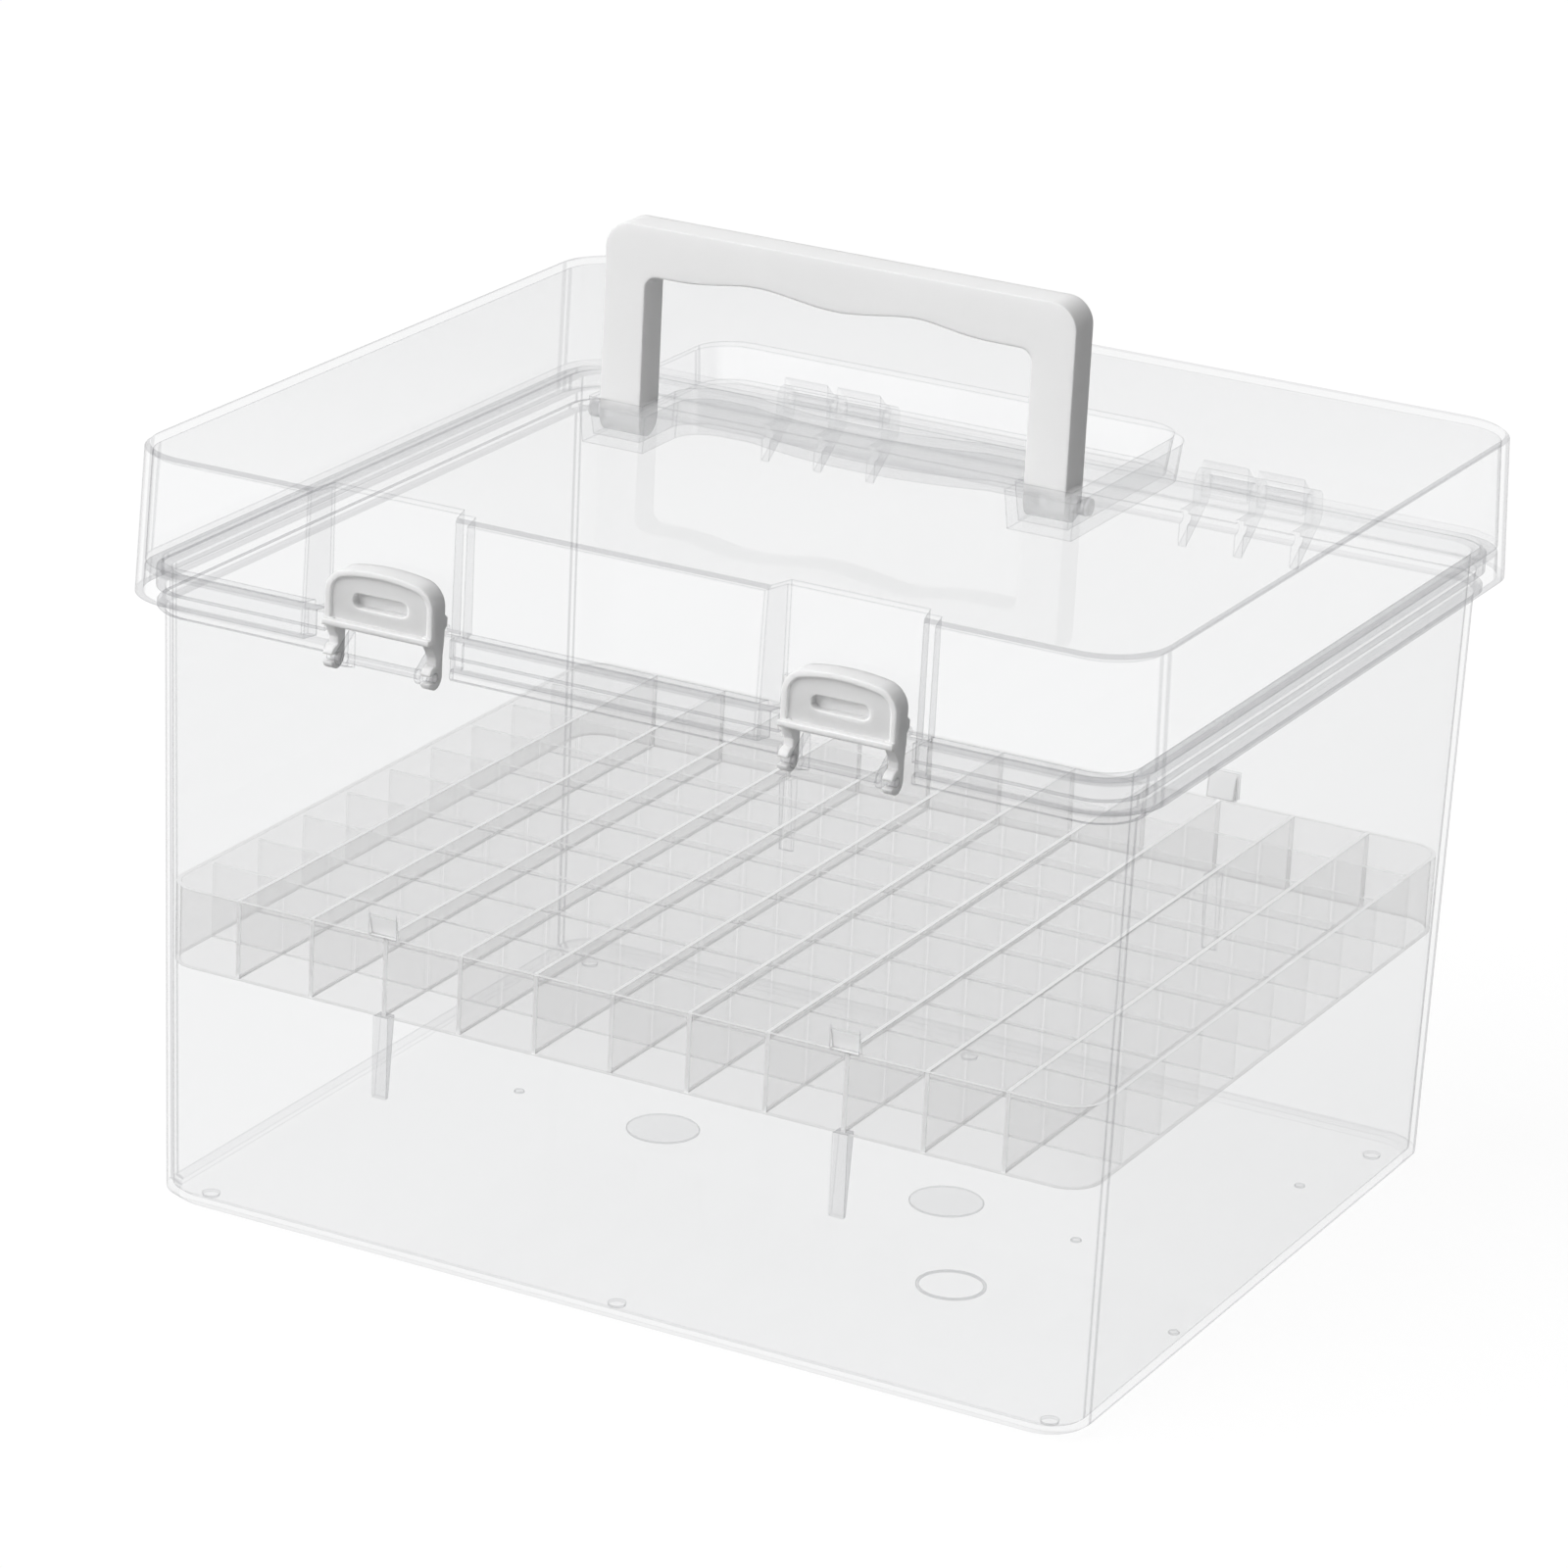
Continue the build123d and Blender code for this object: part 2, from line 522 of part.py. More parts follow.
def latch(centre_x):
    plate = Pos(0, LATCH_REAR, 0) * extrude(Plane.XZ * latch_plate_plan(0), LATCH_DEPTH)
    hollow = extrude(Plane.XZ * latch_plate_plan(LATCH_SKIN), LATCH_DEPTH - LATCH_SKIN)
    plate -= Pos(0, LATCH_REAR, 0) * hollow
    face = extrude(Plane.XZ * latch_plate_plan(LATCH_RIM), LATCH_FACE_SUNK)
    plate -= Pos(0, LATCH_FRONT + LATCH_FACE_SUNK, 0) * face
    plate += latch_slot(LATCH_SLOT_WALL, LATCH_SLOT_DEPTH + LATCH_SLOT_WALL)
    plate -= latch_slot(0, LATCH_SLOT_DEPTH)
    lip = Box(LATCH_WIDTH, LATCH_LIP_PROJECTION, LATCH_LIP_HEIGHT, align=(Align.CENTER, Align.MAX, Align.MIN))
    plate += Pos(0, LATCH_FRONT, LATCH_PLATE_LOW) * lip
    nose_outline = [(LATCH_REAR - LATCH_SKIN, NOSE_Z - LATCH_NOSE_HALF), (LATCH_REAR, NOSE_Z - LATCH_NOSE_HALF),
                    (NOSE_REAR, NOSE_Z - LATCH_NOSE_HALF / 2), (NOSE_REAR, NOSE_Z + LATCH_NOSE_HALF / 2),
                    (LATCH_REAR, NOSE_Z + LATCH_NOSE_HALF), (LATCH_REAR - LATCH_SKIN, NOSE_Z + LATCH_NOSE_HALF)]
    plate += across(make_face(Polyline(*nose_outline, close=True)), LATCH_WIDTH, 0)
    for side in (-1, 1):
        leg_x = side * (LATCH_WIDTH - LATCH_LEG_WIDTH) / 2
        plate += across(latch_leg_profile(), LATCH_LEG_WIDTH, leg_x)
    return Pos(centre_x, 0, 0) * plate


NODES = {
    "body": body,
    "lid": lid,
    "grid_frame": grid_frame,
    "grid_long_walls": grid_long_walls,
    "grid_cross_walls": grid_cross_walls,
    "handle": handle,
    "latch_left": lambda: latch(-LATCH_SPREAD),
    "latch_right": lambda: latch(LATCH_SPREAD),
}

os.makedirs("parts", exist_ok=True)
for name, make in NODES.items():
    export_step(Pos(0, -ORIGIN_Y, 0) * make(), f"parts/{name}.step")
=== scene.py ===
import math

import bmesh
import bpy
from mathutils import Matrix, Vector


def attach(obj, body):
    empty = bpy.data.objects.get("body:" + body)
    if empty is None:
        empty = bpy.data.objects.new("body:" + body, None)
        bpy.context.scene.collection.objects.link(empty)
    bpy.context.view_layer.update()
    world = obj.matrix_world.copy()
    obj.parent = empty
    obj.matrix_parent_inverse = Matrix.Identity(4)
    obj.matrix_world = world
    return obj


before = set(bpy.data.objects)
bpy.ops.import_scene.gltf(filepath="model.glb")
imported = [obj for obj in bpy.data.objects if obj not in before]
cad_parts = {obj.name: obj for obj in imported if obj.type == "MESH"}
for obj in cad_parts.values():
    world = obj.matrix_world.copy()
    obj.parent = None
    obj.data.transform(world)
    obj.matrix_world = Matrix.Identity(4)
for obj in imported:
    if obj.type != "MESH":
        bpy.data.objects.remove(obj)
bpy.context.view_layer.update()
scene = bpy.context.scene

# Light passes many thin clear walls one behind the other, so the paths are long.
scene.cycles.max_bounces = 12
scene.cycles.glossy_bounces = 6
scene.cycles.diffuse_bounces = 4
scene.cycles.transparent_max_bounces = 64
scene.view_settings.view_transform = "Standard"


# Node helpers

WHITE = (1.0, 1.0, 1.0)
NOISE_RANGE = (0.3, 0.7)  # holds nearly all values of a noise
MIX_SOCKETS = {"FLOAT": (2, 3, 0), "RGBA": (6, 7, 2)}  # the two inputs and the output for each kind


def grey(tone):
    return (tone, tone, tone)


def rgba(color):
    """A colour in the form that a node takes. An output socket stays as it is."""
    return color if isinstance(color, bpy.types.NodeSocket) else (*color, 1)


def new_tree(owner):
    """Empties the owner's node tree and gives it back."""
    owner.use_nodes = True
    owner.node_tree.nodes.clear()
    return owner.node_tree


def new_material(name):
    material = bpy.data.materials.new(name)
    return material, new_tree(material)


def add(tree, kind, inputs=None, **settings):
    """Adds a node. An input is a value, or the output socket that feeds it."""
    node = tree.nodes.new(kind)
    for name, value in settings.items():
        setattr(node, name, value)
    for name, value in (inputs or {}).items():
        if isinstance(value, bpy.types.NodeSocket):
            tree.links.new(value, node.inputs[name])
        else:
            node.inputs[name].default_value = value
    return node


def math_node(tree, operation, first, second=0.0):
    return add(tree, "ShaderNodeMath", {0: first, 1: second}, operation=operation).outputs[0]


def absolute(tree, value):
    return math_node(tree, "ABSOLUTE", value)


def product(tree, first, *others):
    for value in others:
        first = math_node(tree, "MULTIPLY", first, value)
    return first


def largest(tree, first, *others):
    for value in others:
        first = math_node(tree, "MAXIMUM", first, value)
    return first


def dot(tree, first, second):
    inputs = {0: first, 1: second}
    return add(tree, "ShaderNodeVectorMath", inputs, operation="DOT_PRODUCT").outputs["Value"]


def rise(tree, value, start, end, low=0.0, high=1.0):
    """Goes from low to high while the value goes from start to end, and is level beyond them."""
    inputs = {"Value": value, "From Min": start, "From Max": end, "To Min": low, "To Max": high}
    return add(tree, "ShaderNodeMapRange", inputs).outputs[0]


def band(tree, value, start, end, ramp, high=1.0):
    """High where the value lies from start to end, and 0 outside, with a ramp on both sides."""
    begin = rise(tree, value, start - ramp, start, 0.0, high)
    return product(tree, begin, rise(tree, value, end, end + ramp, 1.0, 0.0))


def noise(tree, scale, detail):
    """Noise fixed to the piece, as a value from 0 to 1."""
    place = add(tree, "ShaderNodeTexCoord").outputs["Object"]
    inputs = {"Vector": place, "Scale": scale, "Detail": detail}
    return add(tree, "ShaderNodeTexNoise", inputs).outputs["Fac"]


def mix(tree, kind, factor, first, second):
    """Goes from the first to the second as the factor goes from 0 to 1."""
    start, end, result = MIX_SOCKETS[kind]
    inputs = {0: factor, start: first, end: second}
    return add(tree, "ShaderNodeMix", inputs, data_type=kind).outputs[result]


def mix_colors(tree, factor, first, second):
    return mix(tree, "RGBA", factor, rgba(first), rgba(second))


def mix_shaders(tree, factor, first, second):
    return add(tree, "ShaderNodeMixShader", {0: factor, 1: first, 2: second}).outputs[0]


def diffuse(tree, color):
    return add(tree, "ShaderNodeBsdfDiffuse", {"Color": rgba(color)}).outputs[0]


def see_through(tree, color):
    return add(tree, "ShaderNodeBsdfTransparent", {"Color": rgba(color)}).outputs[0]


def surface(tree, shader):
    tree.links.new(shader, add(tree, "ShaderNodeOutputMaterial").inputs["Surface"])


# Where a point lies and how a face looks

# Places are in metres on the pieces at rest. "Away" counts from the case's middle to either side.
# The three ranges of a zone are along X, Y and Z. Those of the ribs and the slots are away from the
# middle along X, and those of the wedges along X and Y.
RIB_ZONE = ((0.0556, 0.0595), (-0.0984, -0.0900), (0.0388, 0.0586))
WEDGE_ZONE = ((0.0538, 0.0614), (0.0900, 0.0988), (0.0773, 0.0838))
SLOT_LIGHT_ZONE = ((0.0490, 0.0630), (-0.1048, -0.1040), (0.1545, 0.1592))
ZONE_RAMP = 0.0002
RIM_Z, RIM_RAMP = (0.1335, 0.152), 0.002
RIM_SIDES_AWAY_X = (0.106, 0.110)
RECESS_FRONT_Y, RECESS_RAMP = (-0.0075, 0.0300), 0.0005
INNER_SIDES_END_AWAY_X = (0.098, 0.100)
BACK_LEDGE_Y, BACK_LEDGE_Z = (0.090, 0.094), (0.1420, 0.1435)
HINGES_Y = (0.1025, 0.1035)
LATCH_TOP_LIGHT_Z = (0.1520, 0.1640)
HANDLE_SUNK_Z = (0.1775, 0.1800)
HANDLE_MIDDLE_X = (-0.01, 0.01)

# How far a face looks along an axis: 0 is not at all and 1 is straight along it.
LEVEL_FACES = (0.4, 0.6)
CHAMFERS, CHAMFER_RAMP = (0.5, 0.85), 0.12
CORNER_FACES, CORNER_RAMP = (0.09, 0.12), 0.03
INNER_FACES = (0.7, 0.8)
WALL_TOPS = (0.6, 0.9)
WALL_ENDS = (0.8, 0.9)
SIDE_FACES = (0.5, 0.9)


def face_direction(tree):
    """How far a face of the piece looks along X, Y and Z, each from -1 to 1."""
    face_normal = add(tree, "ShaderNodeTexCoord").outputs["Normal"]
    return add(tree, "ShaderNodeSeparateXYZ", {0: face_normal}).outputs


def place_on_piece(tree):
    """Where a point lies on its piece at rest, as X, Y and Z in metres from the middle of the case."""
    place = add(tree, "ShaderNodeTexCoord").outputs["Object"]
    return add(tree, "ShaderNodeSeparateXYZ", {0: place}).outputs


def in_zone(tree, place, zone):
    """1 in the box that the zone gives, and 0 outside."""
    return product(tree, *(band(tree, value, *ends, ZONE_RAMP) for value, ends in zip(place, zone)))


# Clear plastic, as a skin that light goes straight through

BEVEL_SAMPLES = 4
FLAT_AGREEMENT = (0.80, 0.99)  # of the rounded and the flat normal, from an edge to a flat face
EVEN_FACING = 0.5
GRAZING_POWER = 5.0
EDGE_ON = (0.70, 1.0)
GLOW_SHARE = 0.5
SHINE_RANGE = (0.03, 0.4)  # from straight on to edge on, as are the ranges of cover

CLEAR_CLOUDS = (22.0, 4.0)  # scale and detail of a noise, as in the other clouds and grains
CLEAR_GRAIN = (160.0, 3.0)
CLEAR_EDGE = 0.0007
CLEAR_COVER = (0.008, 0.3)
CLEAR_ROUGH = (0.02, 0.05)
CLEAR_SKIN = grey(0.78), grey(0.88)
# The dark tint and the strengths below are painted shade, in place of the light that the clear plastic
# bends and reflects at its edges and thick parts.
LINE_TINT = (0.70, 0.70, 0.71)
RIM_DARK, RIM_SIDE_DARK = 0.35, 0.65
RIB_DARK = 0.45
INNER_SIDE_SHARE = 0.5
BACK_LEDGE_FADE, HINGE_SHARE = 0.55, 0.5
# The snap wedges get a painted white glint with a grey outline, which covers the film there.
WEDGE_GLINT_COVER, WEDGE_GLINT_SKIN, WEDGE_OUTLINE = 0.95, grey(0.98), grey(0.50)

HAZE_CLOUDS = (40.0, 4.0)
HAZE_SKIN = grey(0.88), grey(0.95)
HAZE_ROUGH = 0.2
# The painted highlight on the tops and ends of the grid's walls.
CREST_THROUGH, CREST_HIGHLIGHT_SKIN = grey(0.98), grey(0.97)


def near_edge(tree, reach):
    """The normal with the edges rounded, and a value that is 1 at the edges and 0 on flat faces."""
    rounded = add(tree, "ShaderNodeBevel", {"Radius": reach}, samples=BEVEL_SAMPLES).outputs[0]
    flat = add(tree, "ShaderNodeNewGeometry").outputs["Normal"]
    return rounded, rise(tree, dot(tree, rounded, flat), *FLAT_AGREEMENT, 1.0, 0.0)


def film(tree, skin_color, clear, dark, lines, cover_range, rough, normal, painted_glint=0.0):
    """Light goes straight through, in the clear tint, or in the dark one at the lines and seen edge on.

    A pale skin covers the film at a low angle and where a glint is painted. Its outside shines at a low
    angle.
    """
    facing = add(tree, "ShaderNodeLayerWeight", {"Blend": EVEN_FACING}).outputs["Facing"]
    grazing = math_node(tree, "POWER", facing, GRAZING_POWER)
    # The dark tint at the lines and seen edge on is painted shade, in place of the light that the plastic
    # bends away.
    darker = largest(tree, lines, rise(tree, facing, *EDGE_ON))
    through = see_through(tree, mix_colors(tree, darker, clear, dark))
    cover = largest(tree, painted_glint, rise(tree, grazing, 0.0, 1.0, *cover_range))
    glow = add(tree, "ShaderNodeBsdfTranslucent", {"Color": skin_color}).outputs[0]
    skin = mix_shaders(tree, GLOW_SHARE, diffuse(tree, skin_color), glow)
    covered = mix_shaders(tree, cover, through, skin)
    outside = math_node(tree, "SUBTRACT", 1.0, add(tree, "ShaderNodeNewGeometry").outputs["Backfacing"])
    shine = product(tree, outside, rise(tree, grazing, 0.0, 1.0, *SHINE_RANGE))
    inputs = {"Color": rgba(WHITE), "Roughness": rough, "Normal": normal}
    gloss = add(tree, "ShaderNodeBsdfAnisotropic", inputs).outputs[0]
    return mix_shaders(tree, shine, covered, gloss)


def clear_plastic(name, clear, tilt_dark, corner_dark, inner_dark):
    """Clear moulded plastic with painted shade as darker lines along its edges, chamfers and upright
    corners.

    The rim, the front ribs, the front wall of the lid's recess and the side walls inside the lid get
    painted shade too, and a white glint is painted on the snap wedges.
    """
    material, tree = new_material(name)
    normal, edge = near_edge(tree, CLEAR_EDGE)
    along_x, along_y, along_z = (absolute(tree, part) for part in face_direction(tree))
    x, y, z = place_on_piece(tree)
    away_x, away_y = absolute(tree, x), absolute(tree, y)

    tilted = band(tree, along_z, *CHAMFERS, CHAMFER_RAMP, tilt_dark)
    corner = band(tree, along_y, *CORNER_FACES, CORNER_RAMP, corner_dark)
    rim = product(
        tree,
        band(tree, z, *RIM_Z, RIM_RAMP),
        rise(tree, along_z, *LEVEL_FACES),
        rise(tree, away_x, *RIM_SIDES_AWAY_X, RIM_DARK, RIM_SIDE_DARK),
    )
    rib = product(tree, in_zone(tree, (away_x, y, z), RIB_ZONE), RIB_DARK)
    recess_front = product(
        tree,
        rise(tree, along_y, *INNER_FACES, 0.0, inner_dark),
        band(tree, y, *RECESS_FRONT_Y, RECESS_RAMP),
    )
    inner_side = product(
        tree,
        rise(tree, along_x, *INNER_FACES, 0.0, inner_dark),
        rise(tree, away_x, *INNER_SIDES_END_AWAY_X, INNER_SIDE_SHARE, 0.0),
    )
    # Painted shade: the lines darken the film at the edges, chamfers and corners, where the real plastic
    # bends the light, and at the rim, ribs and walls inside the lid.
    lines = largest(tree, edge, tilted, corner, rim, rib, recess_front, inner_side)

    # The photograph hardly shows the back ledge and the hinges through the case, so they are weaker.
    back_ledge = product(
        tree, rise(tree, y, *BACK_LEDGE_Y, 0.0, BACK_LEDGE_FADE), rise(tree, z, *BACK_LEDGE_Z)
    )
    left_at_ledge = math_node(tree, "SUBTRACT", 1.0, back_ledge)
    left_at_back = product(tree, left_at_ledge, rise(tree, y, *HINGES_Y, 1.0, HINGE_SHARE))
    lines = product(tree, lines, left_at_back)

    # Painted highlight: a white glint with a grey outline on the snap wedges.
    glinting_wedge = in_zone(tree, (away_x, away_y, z), WEDGE_ZONE)
    skin_color = mix_colors(tree, noise(tree, *CLEAR_CLOUDS), *CLEAR_SKIN)
    skin_color = mix_colors(tree, glinting_wedge, skin_color, WEDGE_GLINT_SKIN)
    skin_color = mix_colors(tree, product(tree, glinting_wedge, edge), skin_color, WEDGE_OUTLINE)
    rough = rise(tree, noise(tree, *CLEAR_GRAIN), *NOISE_RANGE, *CLEAR_ROUGH)
    painted_glint = product(tree, glinting_wedge, WEDGE_GLINT_COVER)
    surface(tree, film(tree, skin_color, clear, LINE_TINT, lines, CLEAR_COVER, rough, normal, painted_glint))
    return material


def hazy_plastic(name, clear, line_tint, reach, cover_range, top_highlight, end_highlight=0.0):
    """Hazy clear plastic of the marker grid, with a white painted highlight on the narrow top faces and
    ends of its walls.
    """
    material, tree = new_material(name)
    skin_color = mix_colors(tree, noise(tree, *HAZE_CLOUDS), *HAZE_SKIN)
    normal, edge = near_edge(tree, reach)
    walls = film(tree, skin_color, clear, line_tint, edge, cover_range, HAZE_ROUGH, normal)
    # Painted highlight: the narrow tops and ends of the walls are made white.
    crest_highlight = mix_shaders(tree, top_highlight, see_through(tree, CREST_THROUGH), diffuse(tree, CREST_HIGHLIGHT_SKIN))
    _, along_y, upwards = face_direction(tree)
    end = rise(tree, absolute(tree, along_y), *WALL_ENDS, 0.0, end_highlight)
    mask = largest(tree, rise(tree, upwards, *WALL_TOPS), end)
    surface(tree, mix_shaders(tree, mask, walls, crest_highlight))
    return material


# Milky plastic

MILKY_CLOUDS = (60.0, 4.0)
MILKY_GRAIN = (1500.0, 2.0)
MILKY_EDGE = 0.0006
MILKY_IOR = 1.3
GRAIN_DEPTH, GRAIN_STRENGTH = 0.00003, 0.4
SUNK_CLEAR, SUNK_THROUGH = 0.75, grey(0.98)
LATCH_SIDE_LIGHT = 0.9
LATCH_CLOUD_SHADE = (-0.1, 0.1)


def milky_shader(tree, color, edge_light, rough, glow, glow_depth):
    """Milky moulded plastic with softly rounded edges painted lighter as a highlight, that lets a little
    light into its skin.
    """
    grain = noise(tree, *MILKY_GRAIN)
    normal, edge = near_edge(tree, MILKY_EDGE)
    bumps = {"Height": grain, "Distance": GRAIN_DEPTH, "Strength": GRAIN_STRENGTH, "Normal": normal}
    # The base colour is painted lighter at the edges as a highlight.
    return add(tree, "ShaderNodeBsdfPrincipled", {
        "Base Color": mix_colors(tree, edge, color, edge_light),
        "Roughness": rise(tree, grain, *NOISE_RANGE, *rough),
        "IOR": MILKY_IOR,
        "Subsurface Weight": glow,
        "Subsurface Radius": WHITE,
        "Subsurface Scale": glow_depth,
        "Normal": add(tree, "ShaderNodeBump", bumps).outputs[0],
    }).outputs[0]


def milky_handle(name, dark, light, **looks):
    """Painted light makes the inner sides of the legs white, and the legs are nearly clear where they are
    sunk in the lid.
    """
    material, tree = new_material(name)
    x, _, z = place_on_piece(tree)
    inwards = product(tree, face_direction(tree)[0], rise(tree, x, *HANDLE_MIDDLE_X, 1.0, -1.0))
    color = mix_colors(tree, noise(tree, *MILKY_CLOUDS), dark, light)
    # Painted light: the inner sides of the legs, which lie in shade, are made white.
    color = mix_colors(tree, rise(tree, inwards, *SIDE_FACES), color, WHITE)
    sunk = rise(tree, z, *HANDLE_SUNK_Z, SUNK_CLEAR, 0.0)
    shader = milky_shader(tree, color, **looks)
    surface(tree, mix_shaders(tree, sunk, shader, see_through(tree, SUNK_THROUGH)))
    return material


def milky_latch(name, dark, light, **looks):
    """Painted light: lighter towards the top of the face and on the sides, and white on the shaded floor
    of the slot.
    """
    material, tree = new_material(name)
    x, y, z = place_on_piece(tree)
    # Painted light: the sides of the latch and the top of its face are made lighter.
    painted_side_light = rise(tree, absolute(tree, face_direction(tree)[0]), *SIDE_FACES, 0.0, LATCH_SIDE_LIGHT)
    clouds = rise(tree, noise(tree, *MILKY_CLOUDS), *NOISE_RANGE, *LATCH_CLOUD_SHADE)
    shade = math_node(tree, "ADD", rise(tree, z, *LATCH_TOP_LIGHT_Z), painted_side_light)
    shade = math_node(tree, "ADD", shade, clouds)
    # Painted light: the slot's shaded floor is made white.
    slot = in_zone(tree, (absolute(tree, x), y, z), SLOT_LIGHT_ZONE)
    color = mix_colors(tree, slot, mix_colors(tree, shade, dark, light), WHITE)
    surface(tree, milky_shader(tree, color, **looks))
    return material


# The plastic of each node

body_plastic = clear_plastic(
    "body_plastic", (0.975, 0.976, 0.977), tilt_dark=0.12, corner_dark=0.9, inner_dark=0.0
)
lid_plastic = clear_plastic(
    "lid_plastic", (0.987, 0.988, 0.989), tilt_dark=0.9, corner_dark=0.6, inner_dark=0.27
)
mark_plastic = clear_plastic(
    "mark_plastic", (0.965, 0.966, 0.967), tilt_dark=0.6, corner_dark=0.0, inner_dark=0.0
)
frame_plastic = hazy_plastic(
    "frame_plastic", (0.966, 0.965, 0.965), grey(0.72),
    reach=0.0006, cover_range=(0.03, 0.2), top_highlight=0.75,
)
long_wall_plastic = hazy_plastic(
    "long_wall_plastic", (0.964, 0.963, 0.963), grey(0.62),
    reach=0.0008, cover_range=(0.03, 0.2), top_highlight=0.95, end_highlight=1.0,
)
cross_wall_plastic = hazy_plastic(
    "cross_wall_plastic", grey(0.987), grey(0.88),
    reach=0.0005, cover_range=(0.02, 0.15), top_highlight=0.45,
)
handle_plastic = milky_handle(
    "handle_plastic", grey(0.82), grey(0.86),
    edge_light=grey(0.90), rough=(0.4, 0.5), glow=0.4, glow_depth=0.004,
)
latch_plastic = milky_latch(
    "latch_plastic", grey(0.76), grey(0.90),
    edge_light=grey(0.96), rough=(0.35, 0.45), glow=0.7, glow_depth=0.005,
)

NODE_PLASTIC = {
    "body": body_plastic,
    "lid": lid_plastic,
    "grid_frame": frame_plastic,
    "grid_long_walls": long_wall_plastic,
    "grid_cross_walls": cross_wall_plastic,
    "handle": handle_plastic,
    "latch_left": latch_plastic,
    "latch_right": latch_plastic,
}
for name, material in NODE_PLASTIC.items():
    for slot in bpy.data.objects[name].material_slots:
        slot.material = material


# The marks moulded in the case's floor: two discs, four dots and a ring

CASE_FLOOR_TOP = 0.0024
MARK_SINK = 0.0001
MARK_HEIGHT = 0.0004
MARK_CHAMFER = 0.00015
DISC_RADIUS = 0.00875
RING_RADIUS = 0.008
RING_WIDTH = 0.0007
DOT_RADIUS = 0.0013
LARGE_SEGMENTS, DOT_SEGMENTS = 48, 24
DISC_PLACES = ((-0.0375, -0.0021), (0.0375, -0.0021))
RING_PLACES = ((0.0595, -0.0432),)
DOT_PLACES = ((0.072, -0.0047), (-0.077, -0.0017), (0.112, -0.0377), (0.102, 0.0533))


def turned(name, profile, place, segments):
    """A closed profile of (radius, height) points turned about an upright axis."""
    mesh = bmesh.new()
    rings = []
    for radius, height in profile:
        spots = []
        for step in range(segments if radius > 0 else 1):
            angle = 2 * math.pi * step / segments
            spots.append(mesh.verts.new((radius * math.cos(angle), radius * math.sin(angle), height)))
        rings.append(spots)
    for lower, upper in zip(rings, rings[1:] + rings[:1]):
        for step in range(segments):
            after = (step + 1) % segments
            around = ((lower, step), (lower, after), (upper, after), (upper, step))
            corners = list(dict.fromkeys(spots[turn % len(spots)] for spots, turn in around))
            if len(corners) > 2:
                mesh.faces.new(corners)
    bmesh.ops.recalc_face_normals(mesh, faces=mesh.faces)
    data = bpy.data.meshes.new(name)
    mesh.to_mesh(data)
    mesh.free()
    data.materials.append(mark_plastic)
    piece = bpy.data.objects.new(name, data)
    scene.collection.objects.link(piece)
    piece.location = (*place, CASE_FLOOR_TOP - MARK_SINK)
    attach(piece, "case")


def low_disc(name, radius, place, segments):
    rim = [(radius, 0), (radius, MARK_HEIGHT - MARK_CHAMFER), (radius - MARK_CHAMFER, MARK_HEIGHT)]
    turned(name, [(0, 0), *rim, (0, MARK_HEIGHT)], place, segments)


for number, place in enumerate(DISC_PLACES, start=1):
    low_disc(f"floor_disc_{number}", DISC_RADIUS, place, LARGE_SEGMENTS)
for number, place in enumerate(DOT_PLACES, start=1):
    low_disc(f"floor_dot_{number}", DOT_RADIUS, place, DOT_SEGMENTS)
for number, place in enumerate(RING_PLACES, start=1):
    inner = RING_RADIUS - RING_WIDTH
    profile = [(inner, 0), (RING_RADIUS, 0), (RING_RADIUS, MARK_HEIGHT), (inner, MARK_HEIGHT)]
    turned(f"floor_ring_{number}", profile, place, LARGE_SEGMENTS)


# The stage: a card on the ground and a pale room with one soft key light, both white where they are seen

CARD_SIZE = 9.0
CARD_Z = -0.0003
CARD_TONE_BOUNCED, CARD_TONE_SEEN = 0.25, 0.14
CARD_GLOW_SEEN = 0.88
ROOM_SEEN = 1.0
KEY_DIRECTION = (-0.47, -0.61, 0.64)
KEY_SPREAD = (0.80, 0.97)
ROOM_DARK, KEY_BRIGHT = 0.30, 5.1


def background_rays(tree):
    """1 for the rays that should see the white background."""
    rays = add(tree, "ShaderNodeLightPath").outputs
    return largest(tree, rays["Is Camera Ray"], rays["Is Glossy Ray"], rays["Is Transmission Ray"])


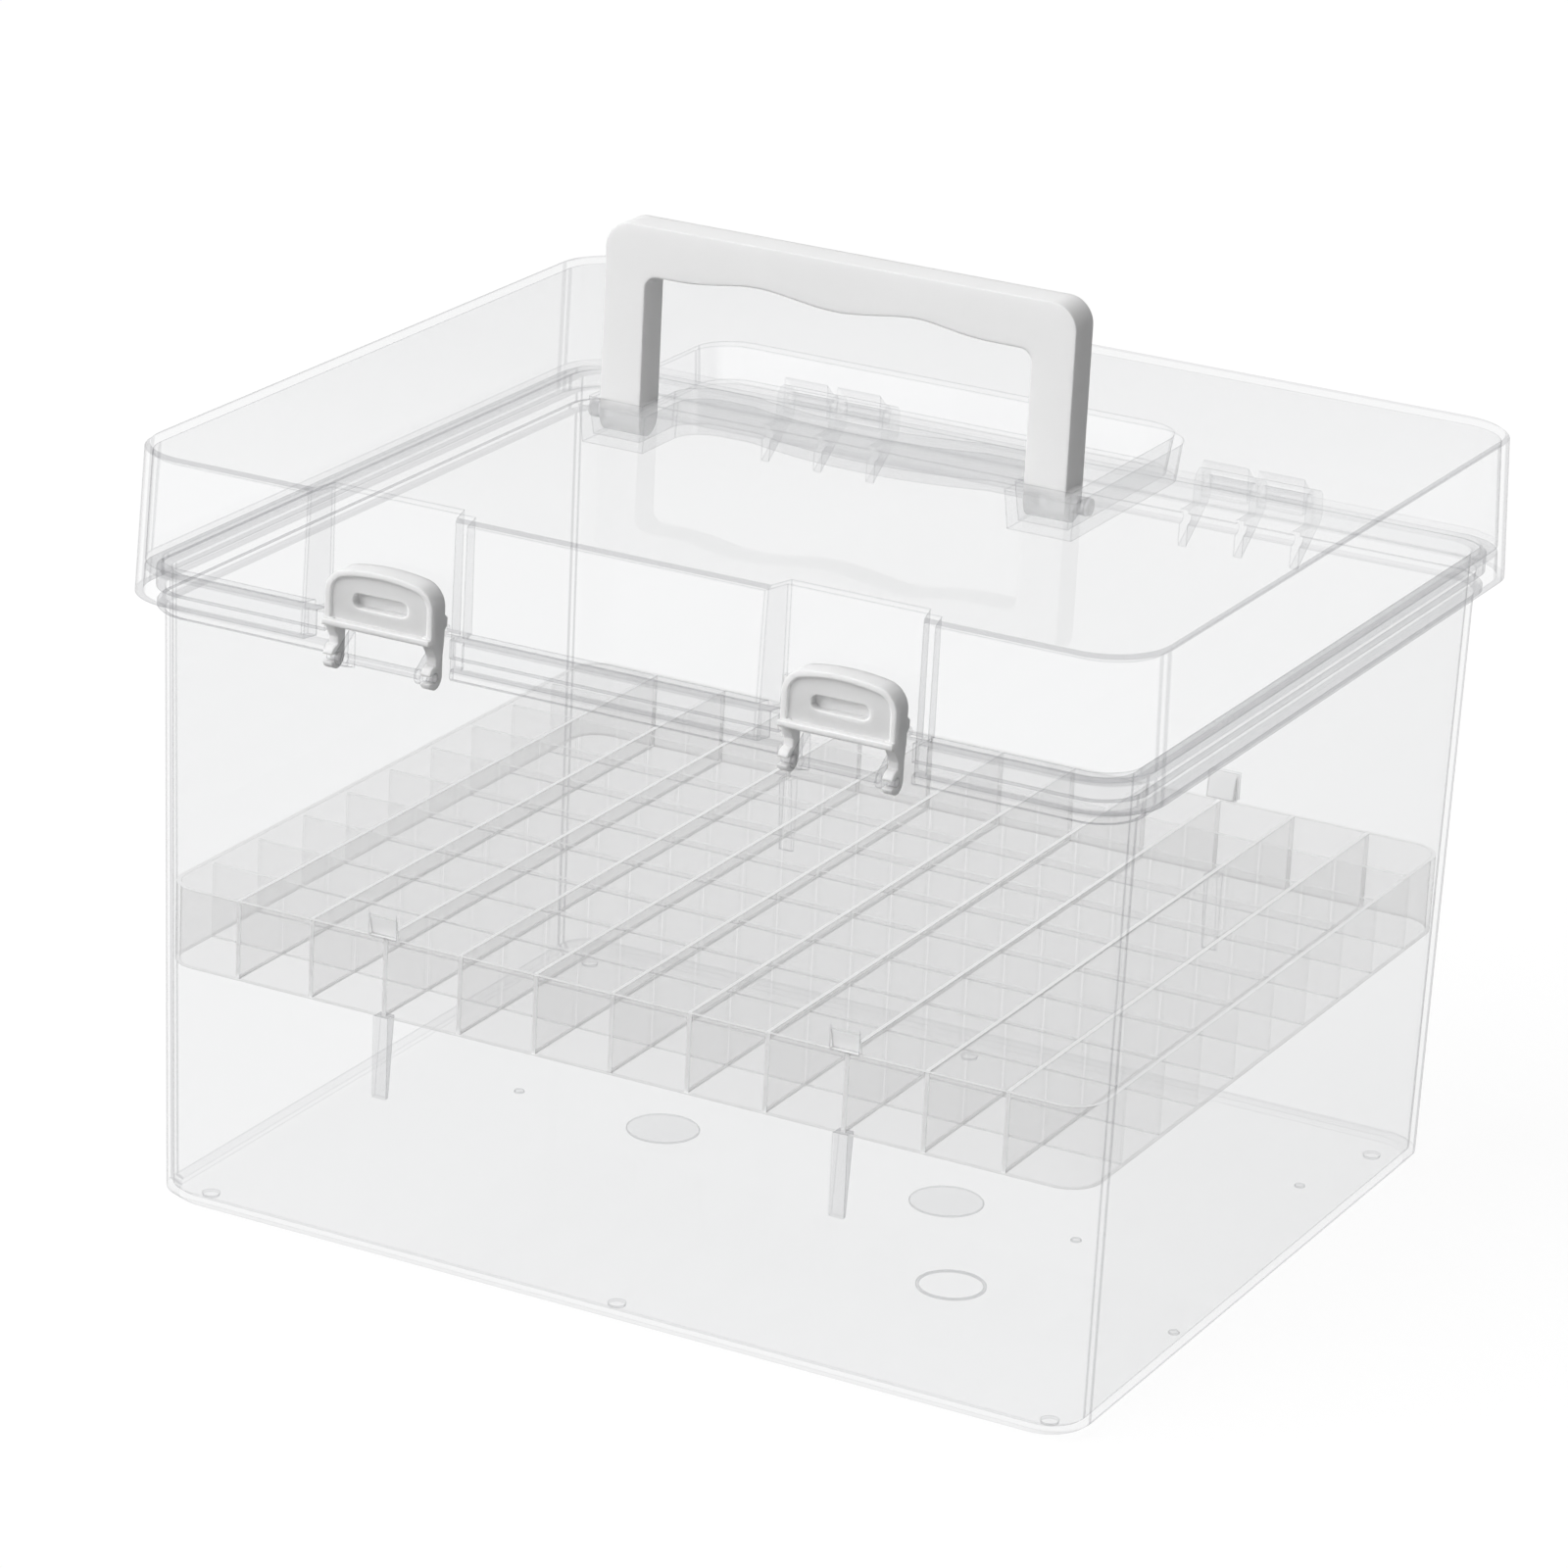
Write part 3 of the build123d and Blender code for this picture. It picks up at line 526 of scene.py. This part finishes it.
floor_mesh = bpy.data.meshes.new("floor")
half = CARD_SIZE / 2
card_corners = [(-half, -half, 0), (half, -half, 0), (half, half, 0), (-half, half, 0)]
floor_mesh.from_pydata(card_corners, [], [(0, 1, 2, 3)])
floor = bpy.data.objects.new("floor", floor_mesh)
scene.collection.objects.link(floor)
floor.location.z = CARD_Z
floor_material, tree = new_material("floor_card")
seen = background_rays(tree)
card = diffuse(tree, rise(tree, seen, 0.0, 1.0, CARD_TONE_BOUNCED, CARD_TONE_SEEN))
glow = add(tree, "ShaderNodeEmission", {"Strength": product(tree, seen, CARD_GLOW_SEEN)}).outputs[0]
surface(tree, add(tree, "ShaderNodeAddShader", {0: card, 1: glow}).outputs[0])
floor_mesh.materials.append(floor_material)

world = bpy.data.worlds.new("studio")
scene.world = world
tree = new_tree(world)
direction = add(tree, "ShaderNodeTexCoord").outputs["Generated"]
room = rise(tree, dot(tree, direction, KEY_DIRECTION), *KEY_SPREAD, ROOM_DARK, KEY_BRIGHT)
level = mix(tree, "FLOAT", background_rays(tree), room, ROOM_SEEN)
sky = add(tree, "ShaderNodeBackground", {"Color": rgba(WHITE), "Strength": level}).outputs[0]
tree.links.new(sky, add(tree, "ShaderNodeOutputWorld").inputs["Surface"])


# The camera, solved from the photograph's straight edges

AZIMUTH, ELEVATION, ROLL = (math.radians(angle) for angle in (27.27, 19.92, 2.90))
CAMERA_PLACE = (0.625085, -1.234282, 0.597199)
SENSOR_WIDTH, LENS = 36, 147.86

back = Vector((
    math.sin(AZIMUTH) * math.cos(ELEVATION),
    -math.cos(AZIMUTH) * math.cos(ELEVATION),
    math.sin(ELEVATION),
))
level_right = Vector((math.cos(AZIMUTH), math.sin(AZIMUTH), 0))
level_up = back.cross(level_right)
right = level_right * math.cos(ROLL) + level_up * math.sin(ROLL)
up = level_up * math.cos(ROLL) - level_right * math.sin(ROLL)
camera = bpy.data.objects.new("camera", bpy.data.cameras.new("camera"))
scene.collection.objects.link(camera)
rotation = Matrix((right, up, back)).transposed().to_4x4()
camera.matrix_world = Matrix.Translation(CAMERA_PLACE) @ rotation
camera.data.sensor_width = SENSOR_WIDTH
camera.data.lens = LENS
scene.camera = camera
